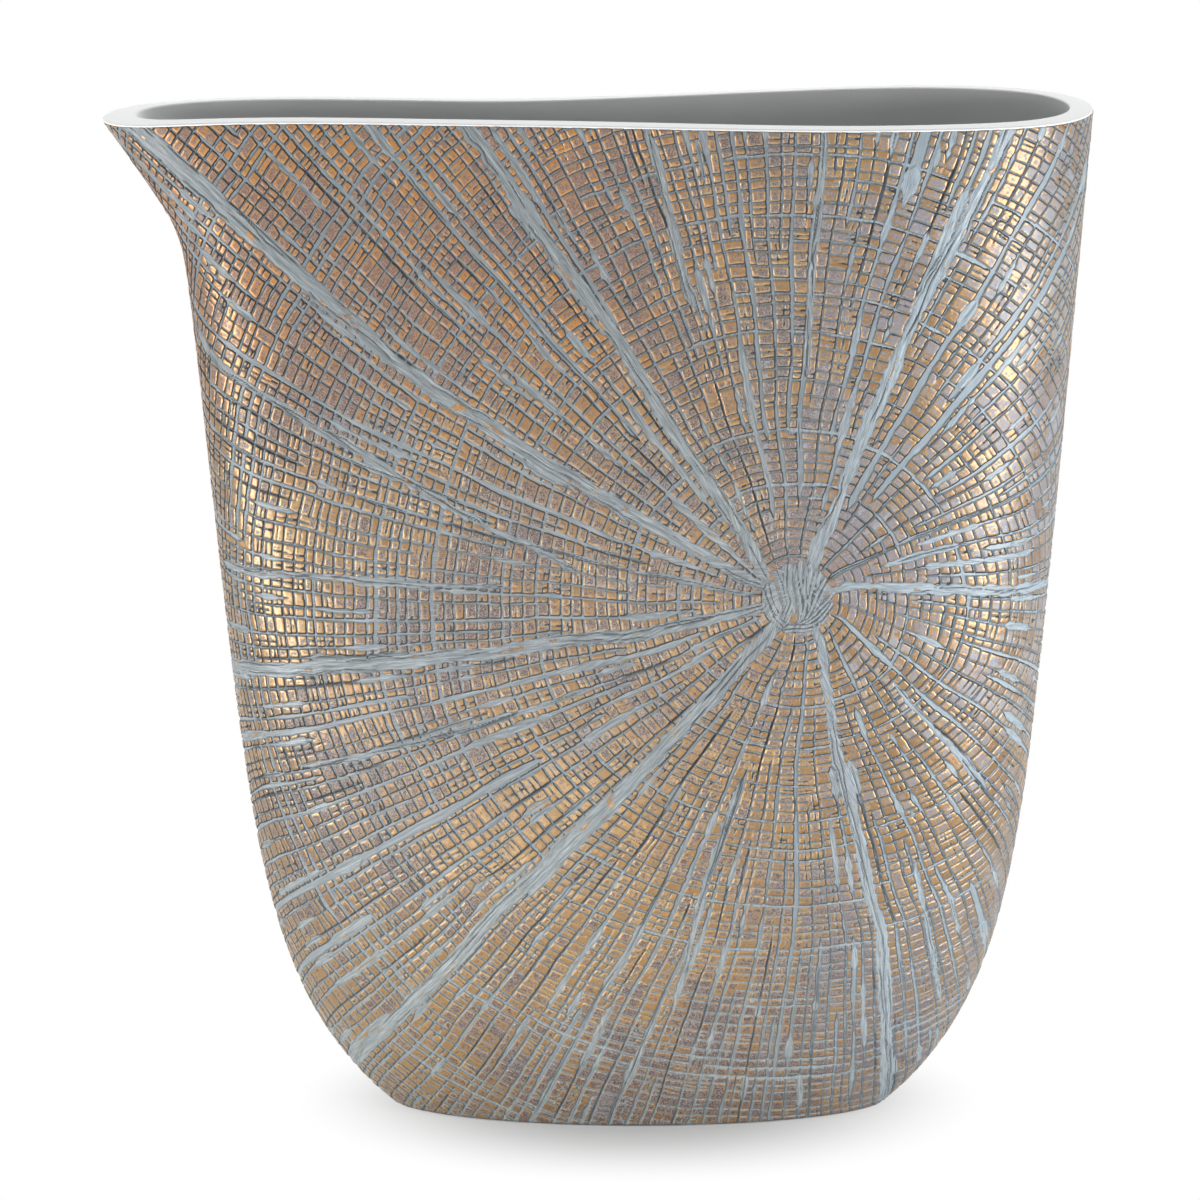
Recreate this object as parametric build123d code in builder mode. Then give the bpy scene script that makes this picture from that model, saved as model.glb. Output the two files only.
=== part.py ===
from build123d import *
import os
from math import cos, exp, pi, sqrt

os.makedirs("parts", exist_ok=True)

# A flattened decorative vase with a pinched pouring spout, cast in resin.
# X runs from the spout (minus) to the round end (plus), minus Y is the front,
# and Z is up. The origin is on the floor, at the centre of the vase's box.

# Base oval
base_length = 159.2
base_depth = 56.8

# Side outline: both ends swell quickly above the base and then lean outwards
corner_height = 34.7
corner_bulge = 37.7
lean_at_round_end = 24.1
lean_at_spout_end = 29.1

# Spout: the end wall bends out below the rim and reaches past the body
spout_reach = 22.7
spout_bend_height = 286.8
spout_bend_softness = 8.9
spout_depth = 48.0
spout_thinning_start = 60.0

# Belly and rim
belly_depth = 86.4
rim_height = 326.0
rim_drop_middle = 1.5
rim_drop_tip = 3.3

# Walls
wall = 6.8
floor_thickness = 10.0
lining_thickness = 1.0

# Foot pads, set part of their thickness into the underside
pad_diameter = 12.0
pad_thickness = 1.2
pad_recess_depth = 0.8

# Where the pads stand, as shares of the base oval's half length and half depth
pad_along_share = 0.70
pad_across_share = 0.42

# How the outline squares up from the base oval: the power of its end curve
oval_power = 2.0
round_end_power = 8.0
spout_end_power = 15.0
round_end_settled_share = 0.6

# Where along the rim, from -1 at the spout tip to 1 at the round end, it widens
widening_start_share = -0.30
widening_end_share = 0.68

# Rim line from the spout to the round end: where along the half length each point
# lies, and how much of which drop it takes
rim_lip_share = -0.81
rim_middle_share = -0.13
rim_rise_share = 0.38
rim_high_share = 0.71
rim_rise_drop_share = 0.5

# Heights of the sections, as shares of the rim height, and points on each outline
section_shares = (
    0, 0.02, 0.045, 0.08, 0.125, 0.19, 0.29, 0.42, 0.56, 0.70, 0.80, 0.86, 0.90, 0.94, 0.98, 1.02
)
outline_points = 48

# How far the cut above the rim runs past each end of the vase
rim_overrun = 30.0

# Worked out from the sizes above
pad_proud = pad_thickness - pad_recess_depth
spout_rim_height = rim_height - rim_drop_tip


def rise(start, end, value):
    """0 below start and 1 above end, with a smooth step between them."""
    t = min(max((value - start) / (end - start), 0), 1)
    return t * t * (3 - 2 * t)


def corner(height):
    """How far the swelling above the base has come at a height, from 0 to 1."""
    return 1 - exp(-max(height, 0) / corner_height)


def spout_bend(height):
    """The spout's lean, growing from nothing below its bend to a straight slope."""
    above = height - spout_bend_height
    return above + sqrt(above * above + spout_bend_softness * spout_bend_softness)


def reach(height, end, inset):
    """Length of the outline from the base's middle to one end, at a height."""
    length = base_length / 2 + corner_bulge * corner(height) - inset
    if end > 0:
        return length + lean_at_round_end * height / rim_height
    spout = spout_reach * spout_bend(height) / spout_bend(spout_rim_height)
    return length + lean_at_spout_end * height / rim_height + spout


base_offset = (reach(spout_rim_height, -1, 0) - reach(rim_height, 1, 0)) / 2
half_length = (reach(spout_rim_height, -1, 0) + reach(rim_height, 1, 0)) / 2


def outline(height, inset):
    """Closed outline of the vase at a height, moved inwards by an inset."""
    left = base_offset - reach(height, -1, inset)
    right = base_offset + reach(height, 1, inset)
    belly = base_depth / 2 + (belly_depth - base_depth) / 2 * corner(height)
    spout = belly + (spout_depth / 2 - belly) * rise(spout_thinning_start, rim_height, height)
    points = []
    for i in range(outline_points):
        turn = 2 * pi * i / outline_points
        along = -cos(turn)
        if along > 0:
            settled = rise(0, round_end_settled_share * rim_height, height)
            power = oval_power + (round_end_power - oval_power) * settled
        else:
            power = oval_power + (spout_end_power - oval_power) * rise(0, rim_height, height)
        half_depth = spout + (belly - spout) * rise(widening_start_share, widening_end_share, along) - inset
        across = half_depth * sqrt(max(1 - abs(along) ** power, 0))
        side = -1 if turn < pi else 1
        points.append(((left + right) / 2 + (right - left) / 2 * along, side * across))
    return points


def heights(bottom):
    """Section heights from a bottom upwards, past the highest point of the rim."""
    return [bottom + (rim_height - bottom) * share for share in section_shares]


def rim_line(lowering):
    """Points of the rim seen from the front, lowered by a distance."""
    top = rim_height - lowering
    return [
        (-half_length, top - rim_drop_tip),
        (rim_lip_share * half_length, top - rim_drop_middle),
        (rim_middle_share * half_length, top - rim_drop_middle),
        (rim_rise_share * half_length, top - rim_rise_drop_share * rim_drop_middle),
        (rim_high_share * half_length, top),
        (half_length, top),
    ]


# The vase filled solid, up past its rim
with BuildPart() as filled_form:
    for height in heights(pad_proud):
        with BuildSketch(Plane.XY.offset(height)):
            with BuildLine():
                Spline(*outline(height - pad_proud, 0), periodic=True)
            make_face()
    loft()

# The hollow that the resin wall leaves, which the lining fills out
with BuildPart() as hollow_form:
    hollow_inset = wall - lining_thickness
    hollow_floor = pad_proud + floor_thickness - lining_thickness
    for height in heights(hollow_floor):
        with BuildSketch(Plane.XY.offset(height)):
            with BuildLine():
                Spline(*outline(height - hollow_inset, hollow_inset), periodic=True)
            make_face()
    loft()

# The space left inside the lining
with BuildPart() as inside_form:
    for height in heights(pad_proud + floor_thickness):
        with BuildSketch(Plane.XY.offset(height)):
            with BuildLine():
                Spline(*outline(height - wall, wall), periodic=True)
            make_face()
    loft()


def above_rim(lowering):
    """Everything above the rim line, lowered by a distance, for cutting."""
    line = rim_line(lowering)
    far = half_length + rim_overrun
    over = rim_height + rim_overrun
    spout_end, round_end = line[0], line[-1]
    round_side = [(far, round_end[1]), (far, over)]
    spout_side = [(-far, over), (-far, spout_end[1])]
    with BuildPart(mode=Mode.PRIVATE) as block:
        with BuildSketch(Plane.XZ):
            with BuildLine():
                Spline(*line)
                Polyline(round_end, *round_side, *spout_side, spout_end)
            make_face()
        extrude(amount=belly_depth, both=True)
    return block.part


# Resin body: the outer wall and floor, open at the top, with a recess for each pad
with BuildPart() as vase_body:
    add(filled_form.part)
    add(hollow_form.part, mode=Mode.SUBTRACT)
    add(above_rim(lining_thickness), mode=Mode.SUBTRACT)
    with BuildSketch(Plane.XY):
        with Locations((base_offset, 0)):
            with GridLocations(pad_along_share * base_length, pad_across_share * base_depth, 2, 2):
                Circle(pad_diameter / 2)
    extrude(amount=pad_thickness, mode=Mode.SUBTRACT)
vase_body.part.label = "vase_body"
export_step(vase_body.part, "parts/vase_body.step")

# Smooth grey coat over the inside and floor, turned outwards over the lip
with BuildPart() as inner_lining:
    add(filled_form.part)
    add(above_rim(lining_thickness), mode=Mode.INTERSECT)
    add(hollow_form.part)
    add(above_rim(0), mode=Mode.SUBTRACT)
    add(inside_form.part, mode=Mode.SUBTRACT)
inner_lining.part.label = "inner_lining"
export_step(inner_lining.part, "parts/inner_lining.step")

# Foot pads, one at each quarter of the base
for end_name, end in (("spout", -1), ("round", 1)):
    for side_name, side in (("front", -1), ("back", 1)):
        pad_x = base_offset + end * pad_along_share * base_length / 2
        pad_y = side * pad_across_share * base_depth / 2
        name = f"foot_pad_{end_name}_{side_name}"
        with BuildPart() as foot_pad:
            with BuildSketch(Plane.XY):
                with Locations((pad_x, pad_y)):
                    Circle(pad_diameter / 2)
            extrude(amount=pad_thickness)
        foot_pad.part.label = name
        export_step(foot_pad.part, f"parts/{name}.step")
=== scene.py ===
import math

import bpy
import numpy as np
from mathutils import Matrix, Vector


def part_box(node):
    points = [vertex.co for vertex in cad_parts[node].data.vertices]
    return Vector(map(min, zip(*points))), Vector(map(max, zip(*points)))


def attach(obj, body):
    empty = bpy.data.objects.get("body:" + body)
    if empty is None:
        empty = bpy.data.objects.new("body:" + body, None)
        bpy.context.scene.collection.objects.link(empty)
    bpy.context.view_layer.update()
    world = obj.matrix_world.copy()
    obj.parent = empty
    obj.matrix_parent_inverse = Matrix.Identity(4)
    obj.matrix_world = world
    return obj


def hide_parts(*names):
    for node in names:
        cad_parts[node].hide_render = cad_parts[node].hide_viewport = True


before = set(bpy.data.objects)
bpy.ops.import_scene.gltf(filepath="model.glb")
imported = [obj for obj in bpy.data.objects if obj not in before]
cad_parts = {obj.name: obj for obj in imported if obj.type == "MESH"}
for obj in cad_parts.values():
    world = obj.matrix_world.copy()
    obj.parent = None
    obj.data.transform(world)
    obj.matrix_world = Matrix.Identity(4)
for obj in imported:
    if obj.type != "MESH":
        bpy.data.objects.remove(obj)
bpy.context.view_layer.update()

# Looks of the flattened vase with a pouring spout. The outside is carved like a log's end
# grain. Lengths of the vase are in millimetres until they become mesh points, in metres.
MM = 0.001

# The vase's own sizes, as in its solids
base_length, base_depth = 159.2, 56.8
corner_height, corner_bulge = 34.7, 37.7
lean_at_round_end, lean_at_spout_end = 24.1, 29.1
spout_reach, spout_bend_height, spout_bend_softness = 22.7, 286.8, 8.9
spout_depth, spout_thinning_start = 48.0, 60.0
belly_depth, rim_height = 86.4, 326.0
rim_drop_middle, rim_drop_tip = 1.5, 3.3
wall, floor_thickness = 6.8, 10.0
pad_diameter, pad_thickness, pad_proud = 12.0, 1.2, 0.4
oval_power, round_end_power, spout_end_power = 2.0, 8.0, 15.0
round_end_settled_share = 0.6
widening_start_share, widening_end_share = -0.30, 0.68
rim_shares = (-1.0, -0.81, -0.13, 0.38, 0.71, 1.0)
rim_drops = (rim_drop_tip, rim_drop_middle, rim_drop_middle, rim_drop_middle / 2, 0, 0)
spout_rim_height = rim_height - rim_drop_tip

# Camera, at the photograph's place, in metres and radians
camera_place = (0.00113, -1.9406, 0.64674)
camera_pitch = 0.24243
focal_pixels, frame_pixels, sensor_mm = 6275.3, 1200, 36.0
nearest_seen, farthest_seen = 0.05, 60


# Shape of the vase

def rise(start, end, value):
    """0 below start and 1 above end, with a smooth step between them."""
    t = np.clip((value - start) / (end - start), 0, 1)
    return t * t * (3 - 2 * t)


def corner(height):
    """How far the swelling above the base has come at a height, from 0 to 1."""
    return 1 - np.exp(-np.maximum(height, 0) / corner_height)


def spout_bend(height):
    """The spout's lean, growing from nothing below its bend to a straight slope."""
    above = height - spout_bend_height
    return above + np.sqrt(above * above + spout_bend_softness ** 2)


def reach(height, end, inset):
    """Length of the outline from the base's middle to one end, at a height."""
    length = base_length / 2 + corner_bulge * corner(height) - inset
    if end > 0:
        return length + lean_at_round_end * height / rim_height
    spout = spout_reach * spout_bend(height) / spout_bend(spout_rim_height)
    return length + lean_at_spout_end * height / rim_height + spout


base_offset = (reach(spout_rim_height, -1, 0) - reach(rim_height, 1, 0)) / 2
half_length = (reach(spout_rim_height, -1, 0) + reach(rim_height, 1, 0)) / 2


def half_depth(height, along, inset):
    """Half the vase's depth at a height, at a share along its length from -1 to 1."""
    belly = base_depth / 2 + (belly_depth - base_depth) / 2 * corner(height)
    spout = belly + (spout_depth / 2 - belly) * rise(spout_thinning_start, rim_height, height)
    settled = rise(0, round_end_settled_share * rim_height, height)
    round_power = oval_power + (round_end_power - oval_power) * settled
    spout_power = oval_power + (spout_end_power - oval_power) * rise(0, rim_height, height)
    power = np.where(along > 0, round_power, spout_power)
    depth = spout + (belly - spout) * rise(widening_start_share, widening_end_share, along) - inset
    return depth * np.sqrt(np.maximum(1 - np.abs(along) ** power, 0))


def outline(height, along, inset):
    """Places along X, and depths, of the vase's half outline at a height."""
    left = base_offset - reach(height, -1, inset)
    right = base_offset + reach(height, 1, inset)
    return (left + right) / 2 + (right - left) / 2 * along, half_depth(height, along, inset)


def rim_at(x):
    """Height of the rim at a place along X: one smooth curve through the rim's points."""
    at, tall = np.array(rim_shares) * half_length, rim_height - np.array(rim_drops)
    step = np.diff(at)
    slope = np.gradient(tall, at)
    i = np.clip(np.searchsorted(at, x) - 1, 0, len(step) - 1)
    t = np.clip((x - at[i]) / step[i], 0, 1)
    return ((2 * t ** 3 - 3 * t ** 2 + 1) * tall[i] + (t ** 3 - 2 * t ** 2 + t) * step[i] * slope[i]
            + (3 * t ** 2 - 2 * t ** 3) * tall[i + 1] + (t ** 3 - t ** 2) * step[i] * slope[i + 1])


# Noise and chance for the hand-cut look, always the same from run to run

noise_table, chance_table = 256, 65536
chance_seed, line_seed, ring_seed = 71, 300, 12
chances = np.random.default_rng(chance_seed).uniform(0, 1, chance_table)

# What each cell's chances decide
(cell_jog, ring_missing, split_place, cell_is_split, cleft_place, cell_is_cleft,
 cell_tint) = range(1, 8)


def noise(u, v, seed):
    """Smooth noise from -1 to 1 whose bumps are about 1 unit across."""
    table = np.random.default_rng(seed).uniform(-1, 1, (noise_table, noise_table))
    i, j = np.floor(u).astype(int), np.floor(v).astype(int)
    s, t = u - i, v - j
    s, t = s * s * (3 - 2 * s), t * t * (3 - 2 * t)
    last = noise_table - 1
    i0, j0, i1, j1 = i & last, j & last, (i + 1) & last, (j + 1) & last
    return ((table[i0, j0] * (1 - s) + table[i1, j0] * s) * (1 - t)
            + (table[i0, j1] * (1 - s) + table[i1, j1] * s) * t)


def patches(u, v, size, seed):
    """Smooth noise from -1 to 1 over the surface, in patches of a size in mm."""
    return noise(u / size, v / size, seed)


def fibres(along, across, length, width, seed):
    """Smooth noise from -1 to 1 in thin fibres, of a length and a width in mm."""
    return noise(along / length, across / width, seed)


def waver(along, line, length, seed):
    """Smooth noise from -1 to 1 in waves of a length in mm, different on each line."""
    return noise(along / length, line + 0 * along, seed)


def chance(kind, sector, column, ring):
    """A number from 0 to 1 that belongs to one cell of the carving, for one kind of choice."""
    place = kind * 7919 + sector * 10007 + column * 613 + ring * 31 + column * ring
    return chances[place & (chance_table - 1)]


# The surface unrolled. Pixels are the photograph's, 1200 across.

# A pixel's point on the front is found in steps, each part of the way to the surface
steps_to_front, part_of_way, nearly_end = 60, 0.4, 0.995


def on_front(px, py):
    """Place along X and height, in mm, of the front's point under a pixel of the photograph."""
    side = (px - frame_pixels / 2) / focal_pixels
    up = (frame_pixels / 2 - py) / focal_pixels
    depth_step = math.cos(camera_pitch) + up * math.sin(camera_pitch)
    height_step = up * math.cos(camera_pitch) - math.sin(camera_pitch)
    eye = [c / MM for c in camera_place]
    y = -belly_depth / 2
    for _ in range(steps_to_front):
        far = (y - eye[1]) / depth_step
        x, z = eye[0] + side * far, eye[2] + height_step * far
        h = z - pad_proud
        left, right = base_offset - reach(h, -1, 0), base_offset + reach(h, 1, 0)
        along = (x - (left + right) / 2) / ((right - left) / 2)
        along = min(max(along, -nearly_end), nearly_end)
        y = (1 - part_of_way) * y - part_of_way * float(half_depth(h, np.array(along), 0))
    return x, z


heart_pixel = (795, 600)
heart_x, heart_z = on_front(*heart_pixel)
past_rim = 5
profile_z = np.linspace(0, rim_height + past_rim, 700)
profile_slope = (belly_depth - base_depth) / 2 * np.exp(-profile_z / corner_height) / corner_height
profile_length = np.concatenate(
    [[0], np.cumsum(np.diff(profile_z) * np.sqrt(1 + profile_slope[1:] ** 2))])
heart_length = np.interp(heart_z, profile_z, profile_length)
fine_along = -np.cos(np.linspace(0, math.pi, 1600))


def front_line(z):
    """The front's outline at a height as close points: places, depths and length so far."""
    x, depth = outline(z - pad_proud, fine_along, 0)
    length = np.concatenate([[0], np.cumsum(np.hypot(np.diff(x), np.diff(depth)))])
    return x, depth, length


def unrolled(x, z):
    """Places along and up the unrolled surface, from the heart, of a point on the front."""
    line_x, _, length = front_line(z)
    u = np.interp(x, line_x, length) - np.interp(heart_x, line_x, length)
    return u, np.interp(z, profile_z, profile_length) - heart_length


# Wide rays. Their edges swell, wobble and fray by these shares or lengths in mm.
ray_swell, ray_wobble, ray_fray = 0.26, 0.55, 0.35
fine_points_per_pixel = 24


class Ray:
    """A wide ray through pixels of the photograph, as wide in mm at its start and its end."""

    def __init__(self, widths, pixels):
        points = np.array([unrolled(*on_front(*pixel)) for pixel in pixels])
        fine = np.linspace(0, len(points) - 1, fine_points_per_pixel * len(points))
        u, v = (np.interp(fine, np.arange(len(points)), points[:, c]) for c in (0, 1))
        order = np.argsort(np.hypot(u, v))
        self.radii, self.turns = np.hypot(u, v)[order], np.unwrap(np.arctan2(v, u)[order])
        self.widths = widths

    def turn(self, r):
        """Direction of the ray's middle, in radians, at a distance from the heart."""
        return np.interp(r, self.radii, self.turns)

    def width(self, r):
        """Width of the ray, in mm, at a distance from the heart."""
        share = np.clip((r - self.radii[0]) / (self.radii[-1] - self.radii[0]), 0, 1)
        return self.widths[0] + (self.widths[1] - self.widths[0]) * share


def half_of_ray(width, r, line):
    """Half a wide ray's width at a distance along it, with its edge wavering."""
    return (width / 2 * (1 + ray_swell * waver(r, line, length=16, seed=5))
            + ray_wobble * waver(r, line, length=4.5, seed=6)
            + ray_fray * waver(r, line, length=1.6, seed=16))


# Main rays
right_ray = Ray((3.2, 3.6), pixels=[(845, 587), (930, 586), (1046, 584)])
upper_right_ray = Ray((4.2, 4.6), pixels=[(815, 560), (870, 420), (940, 270), (1010, 130)])
upper_left_ray = Ray((4.6, 5.2), pixels=[(770, 580), (630, 360), (469, 128)])
spout_ray = Ray((3.6, 6.6), pixels=[
    (750, 580), (650, 522), (550, 467), (392, 360), (240, 222), (138, 130)])
left_ray = Ray((3.6, 5.6), pixels=[(765, 606), (650, 633), (450, 655), (232, 663)])
lower_left_ray = Ray((4.6, 5.6), pixels=[
    (765, 640), (649, 766), (499, 912), (429, 985), (357, 1059)])
lower_ray = Ray((3.2, 5.0), pixels=[(820, 640), (835, 750), (880, 930), (885, 1090)])

# In this order they go round the heart anticlockwise
main_rays = [right_ray, upper_right_ray, upper_left_ray, spout_ray, left_ray, lower_left_ray, lower_ray]

# Lesser rays, which begin and end part of the way out
lesser_rays = [
    Ray((2.0, 3.0), pixels=[(804, 398), (811, 283), (826, 132)]),
    Ray((1.8, 3.2), pixels=[(716, 352), (681, 268), (647, 130)]),
    Ray((1.8, 2.2), pixels=[(708, 207), (696, 140)]),
    Ray((1.6, 2.0), pixels=[(926, 195), (941, 140)]),
    Ray((2.0, 3.4), pixels=[(605, 585), (429, 497), (321, 429), (222, 367), (191, 306)]),
    Ray((1.6, 3.0), pixels=[(536, 589), (337, 578), (222, 559)]),
    Ray((1.8, 2.6), pixels=[(880, 666), (987, 788)]),
    Ray((1.6, 2.4), pixels=[(911, 842), (941, 1003)]),
    Ray((1.5, 2.4), pixels=[(560, 700), (420, 742), (300, 765)]),
    Ray((1.4, 2.2), pixels=[(745, 760), (700, 900), (672, 1010)]),
]
lesser_tip, past_lesser_end, tip_depth = 14, 6, 0.4

# Cells end this far outside a wide ray's edge, in mm
ray_margin = 0.05

# The band down each side, where the front's carving meets the back's
side_band_width = 5.4

# Long cracks in a wide ray: their place across half its width, and their noise's seed
middle_crack = (0.1, 15)
long_cracks = [(0.62, 13), (-0.55, 14), middle_crack]
crack_sway, crack_half_width, crack_closed, crack_inside = 0.6, 0.2, 0.6, -0.25
lower_crack_from, lower_crack_full = 20, 45

# Thin slivers stay raised inside the wide rays, where their fibres stand high enough
sliver_inside, sliver_above, sliver_slope, sliver_top = -0.9, 0.70, 1.2, 0.3

# Strands of the knot at the heart, from their upper ends, in mm from the heart
knot_strands = [
    [(-6.5, 11.2), (-4.1, 5.2), (-1.4, -4.4)],
    [(-2.3, 11.8), (-2.6, 4.0), (-1.1, -0.8), (-3.5, -6.8)],
    [(0.7, 12.4), (1.0, 6.4), (2.5, -1.4), (2.5, -6.8)],
    [(4.3, 11.8), (3.4, 4.0), (4.3, -1.4), (3.1, -6.5)],
    [(7.9, 11.8), (6.7, 6.4), (5.5, 1.6), (4.9, -4.4)],
    [(12.1, 10.6), (8.5, 4.0), (6.7, -0.8), (3.7, -6.8)],
    [(13.9, 4.0), (10.3, -0.8), (6.1, -5.6), (-1.1, -9.8)],
    [(-7.1, -10.4), (-1.1, -9.2), (6.1, -8.6), (10.3, -4.4), (12.1, -0.8)],
    [(-10.1, 4.0), (-8.3, -0.8), (-6.5, -5.6), (-3.5, -8.6)],
    [(-8.3, 5.2), (-7.1, 0.4), (-4.7, -4.4)],
]
knot_middle, knot_radius, knot_squash = (1.0, 0.5), 10.6, 0.92
strand_half_width, strand_gap, seam_half_width = 0.6, 0.62, 0.17
strand_waver, strand_roughness, strand_overlap, strand_rounding = 0.3, 0.16, 0.15, 6
knot_fade, knot_edge, knot_edge_roughness = 6, 1.2, 0.8

# Radial lines: the gap that a new one starts in, and the half widths of their cuts, in mm
outer_radius, first_line_radius, first_line_gap = 330.0, 8.0, 2.8
closest_lines, widest_gap = 5.0, 7.4
fine_cut, usual_cut, wide_cut = (0.42, 0.60), (0.60, 0.88), (0.9, 1.6)
fine_share, wide_share, cracked_share = 0.60, 0.08, 0.30

# A new line starts near the middle of its gap
line_jitter, new_line_shares = 0.2, (0.38, 0.62)

# A cut wavers by a share of its width. It starts from nothing, over a few mm, and away from
# the heart it swells and frays in places.
cut_waver, start_sunk, start_taper = 0.35, 0.3, 7
cut_swell, cut_fray, swell_from, swell_full = 0.42, 0.9, 12, 34
fray_edge, fray_closed = 0.1, 2.5
slit_half_width, slit_closed = 0.20, 0.5


def sector_width(sector, r):
    """Width in mm of one sector, from a main ray to the next, at a distance from the heart."""
    start = main_rays[sector].turn(r)
    end = main_rays[(sector + 1) % len(main_rays)].turn(r)
    return r * ((end - start) % (2 * math.pi))


def grow_lines(sector):
    """Radial lines of a sector: a new one starts wherever the gap between two grows too wide.

    Gives each line's place across the sector, where it starts, its half width, and whether
    it has a crack."""
    rng = np.random.default_rng(line_seed + sector)
    count = max(int(sector_width(sector, first_line_radius) / first_line_gap), 1)
    places = [(i + 1 + rng.uniform(-line_jitter, line_jitter)) / (count + 1) for i in range(count)]
    lines = [[0.0, 0.0], [1.0, 0.0]] + [[p, first_line_radius] for p in places]
    limits = {}
    for r in np.arange(first_line_radius, outer_radius, 1.0):
        width = sector_width(sector, r)
        lines.sort()
        for a, b in list(zip(lines, lines[1:])):
            limit = limits.setdefault((a[0], b[0]), rng.uniform(closest_lines, widest_gap))
            if (b[0] - a[0]) * width > limit:
                lines.append([a[0] + (b[0] - a[0]) * rng.uniform(*new_line_shares), r])
    lines.sort()
    table = np.array(lines)
    luck = rng.uniform(0, 1, len(lines))
    fine, usual, wide = (rng.uniform(*cut, len(lines)) for cut in (fine_cut, usual_cut, wide_cut))
    half_width = np.where(luck < fine_share, fine, usual)
    half_width = np.where(luck > 1 - wide_share, wide, half_width)
    cracked = rng.uniform(0, 1, len(lines)) < cracked_share
    return table[:, 0], table[:, 1], half_width, cracked


sector_lines = [grow_lines(s) for s in range(len(main_rays))]

# Rings: their gaps and the half widths of their cuts in mm, with closer ones near the heart
ring_count, ring_gap, ring_cut = 120, (2.9, 4.7), (0.36, 0.54)
close_rings, close_gaps = (0, 3, 12), (0.72, 0.85, 1)
wider_ring, wider_ring_share, widest_shift = 0.24, 0.12, 1.9
ring_rng = np.random.default_rng(ring_seed)
ring_steps = ring_rng.uniform(*ring_gap, ring_count)
ring_steps = ring_steps * np.interp(np.arange(ring_count), close_rings, close_gaps)
rings = first_line_radius + np.cumsum(ring_steps)
ring_half_width = ring_rng.uniform(*ring_cut, len(rings))
ring_half_width += wider_ring * (ring_rng.uniform(0, 1, len(rings)) > 1 - wider_ring_share)
sector_shift = ring_rng.uniform(-widest_shift, widest_shift, len(main_rays))

# The rings bend in wide waves and jog from cell to cell, in mm, less so near the heart, and
# their cuts waver by a share of their width, more so at the spout end
ring_bend, bend_from, bend_full = 1.3, 14, 40
ring_jog, jog_from, jog_full = 0.34, 10, 22
ring_waver, end_waver, end_from, end_full = 0.35, 0.3, -90, -125

# How much closer together the rings come low down in each sector, and towards the spout end
ring_crowding, crowding_below = np.array([0, 0, 0, 0, 0.08, 0.28, 0.34]), -22
end_crowding, crowding_past = 0.14, -75

# Cells: how many lack a ring or have one more cut, and which are big enough for one
missing_share, second_cut_share, second_cut_half_width = 0.015, 0.20, 0.25
least_split_height, least_cleft_width = 3.2, 2.5
second_cut_from, second_cut_spread = 0.40, 0.20

# How much the cells' corners are rounded, and how rough their edges are, in mm
corner_blend, second_blend, edge_roughness = 0.22, 0.2, 0.12

# The side of each cut that carries a dark hairline, painted shade on the cut's wall turned from the light,
# given as a direction along and up towards the light
painted_shade_side = (-0.99, 0.14)

# The whole pattern sways and shivers by this many mm, but not at the heart
pattern_sway, pattern_shiver, calm_within, sway_full = 0.7, 0.16, 6, 20

# Fields start this far, in mm, from any cut, and each line has fibres of its own
far_off, fibre_shift = 9.0, 40.0

# Points are taken in narrow bands around the heart, this wide in mm
band_width, most_bands = 2.0, 1000


def soft_least(a, b, blend):
    """The lesser of two distances, rounded where they are nearly equal."""
    h = np.maximum(blend - np.abs(a - b), 0) / blend
    return np.minimum(a, b) - h * h * blend / 4


def find_sectors(r, theta):
    """The sector of each point, its angle past the first main ray, and the rays' own angles."""
    first = main_rays[0].turn(r)
    around = (theta - first) % (2 * math.pi)
    turns = [(ray.turn(r) - first) % (2 * math.pi) for ray in main_rays]
    sector = np.zeros(len(r), int)
    for turn in turns[1:]:
        sector += around >= turn
    return sector, around, turns


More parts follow.
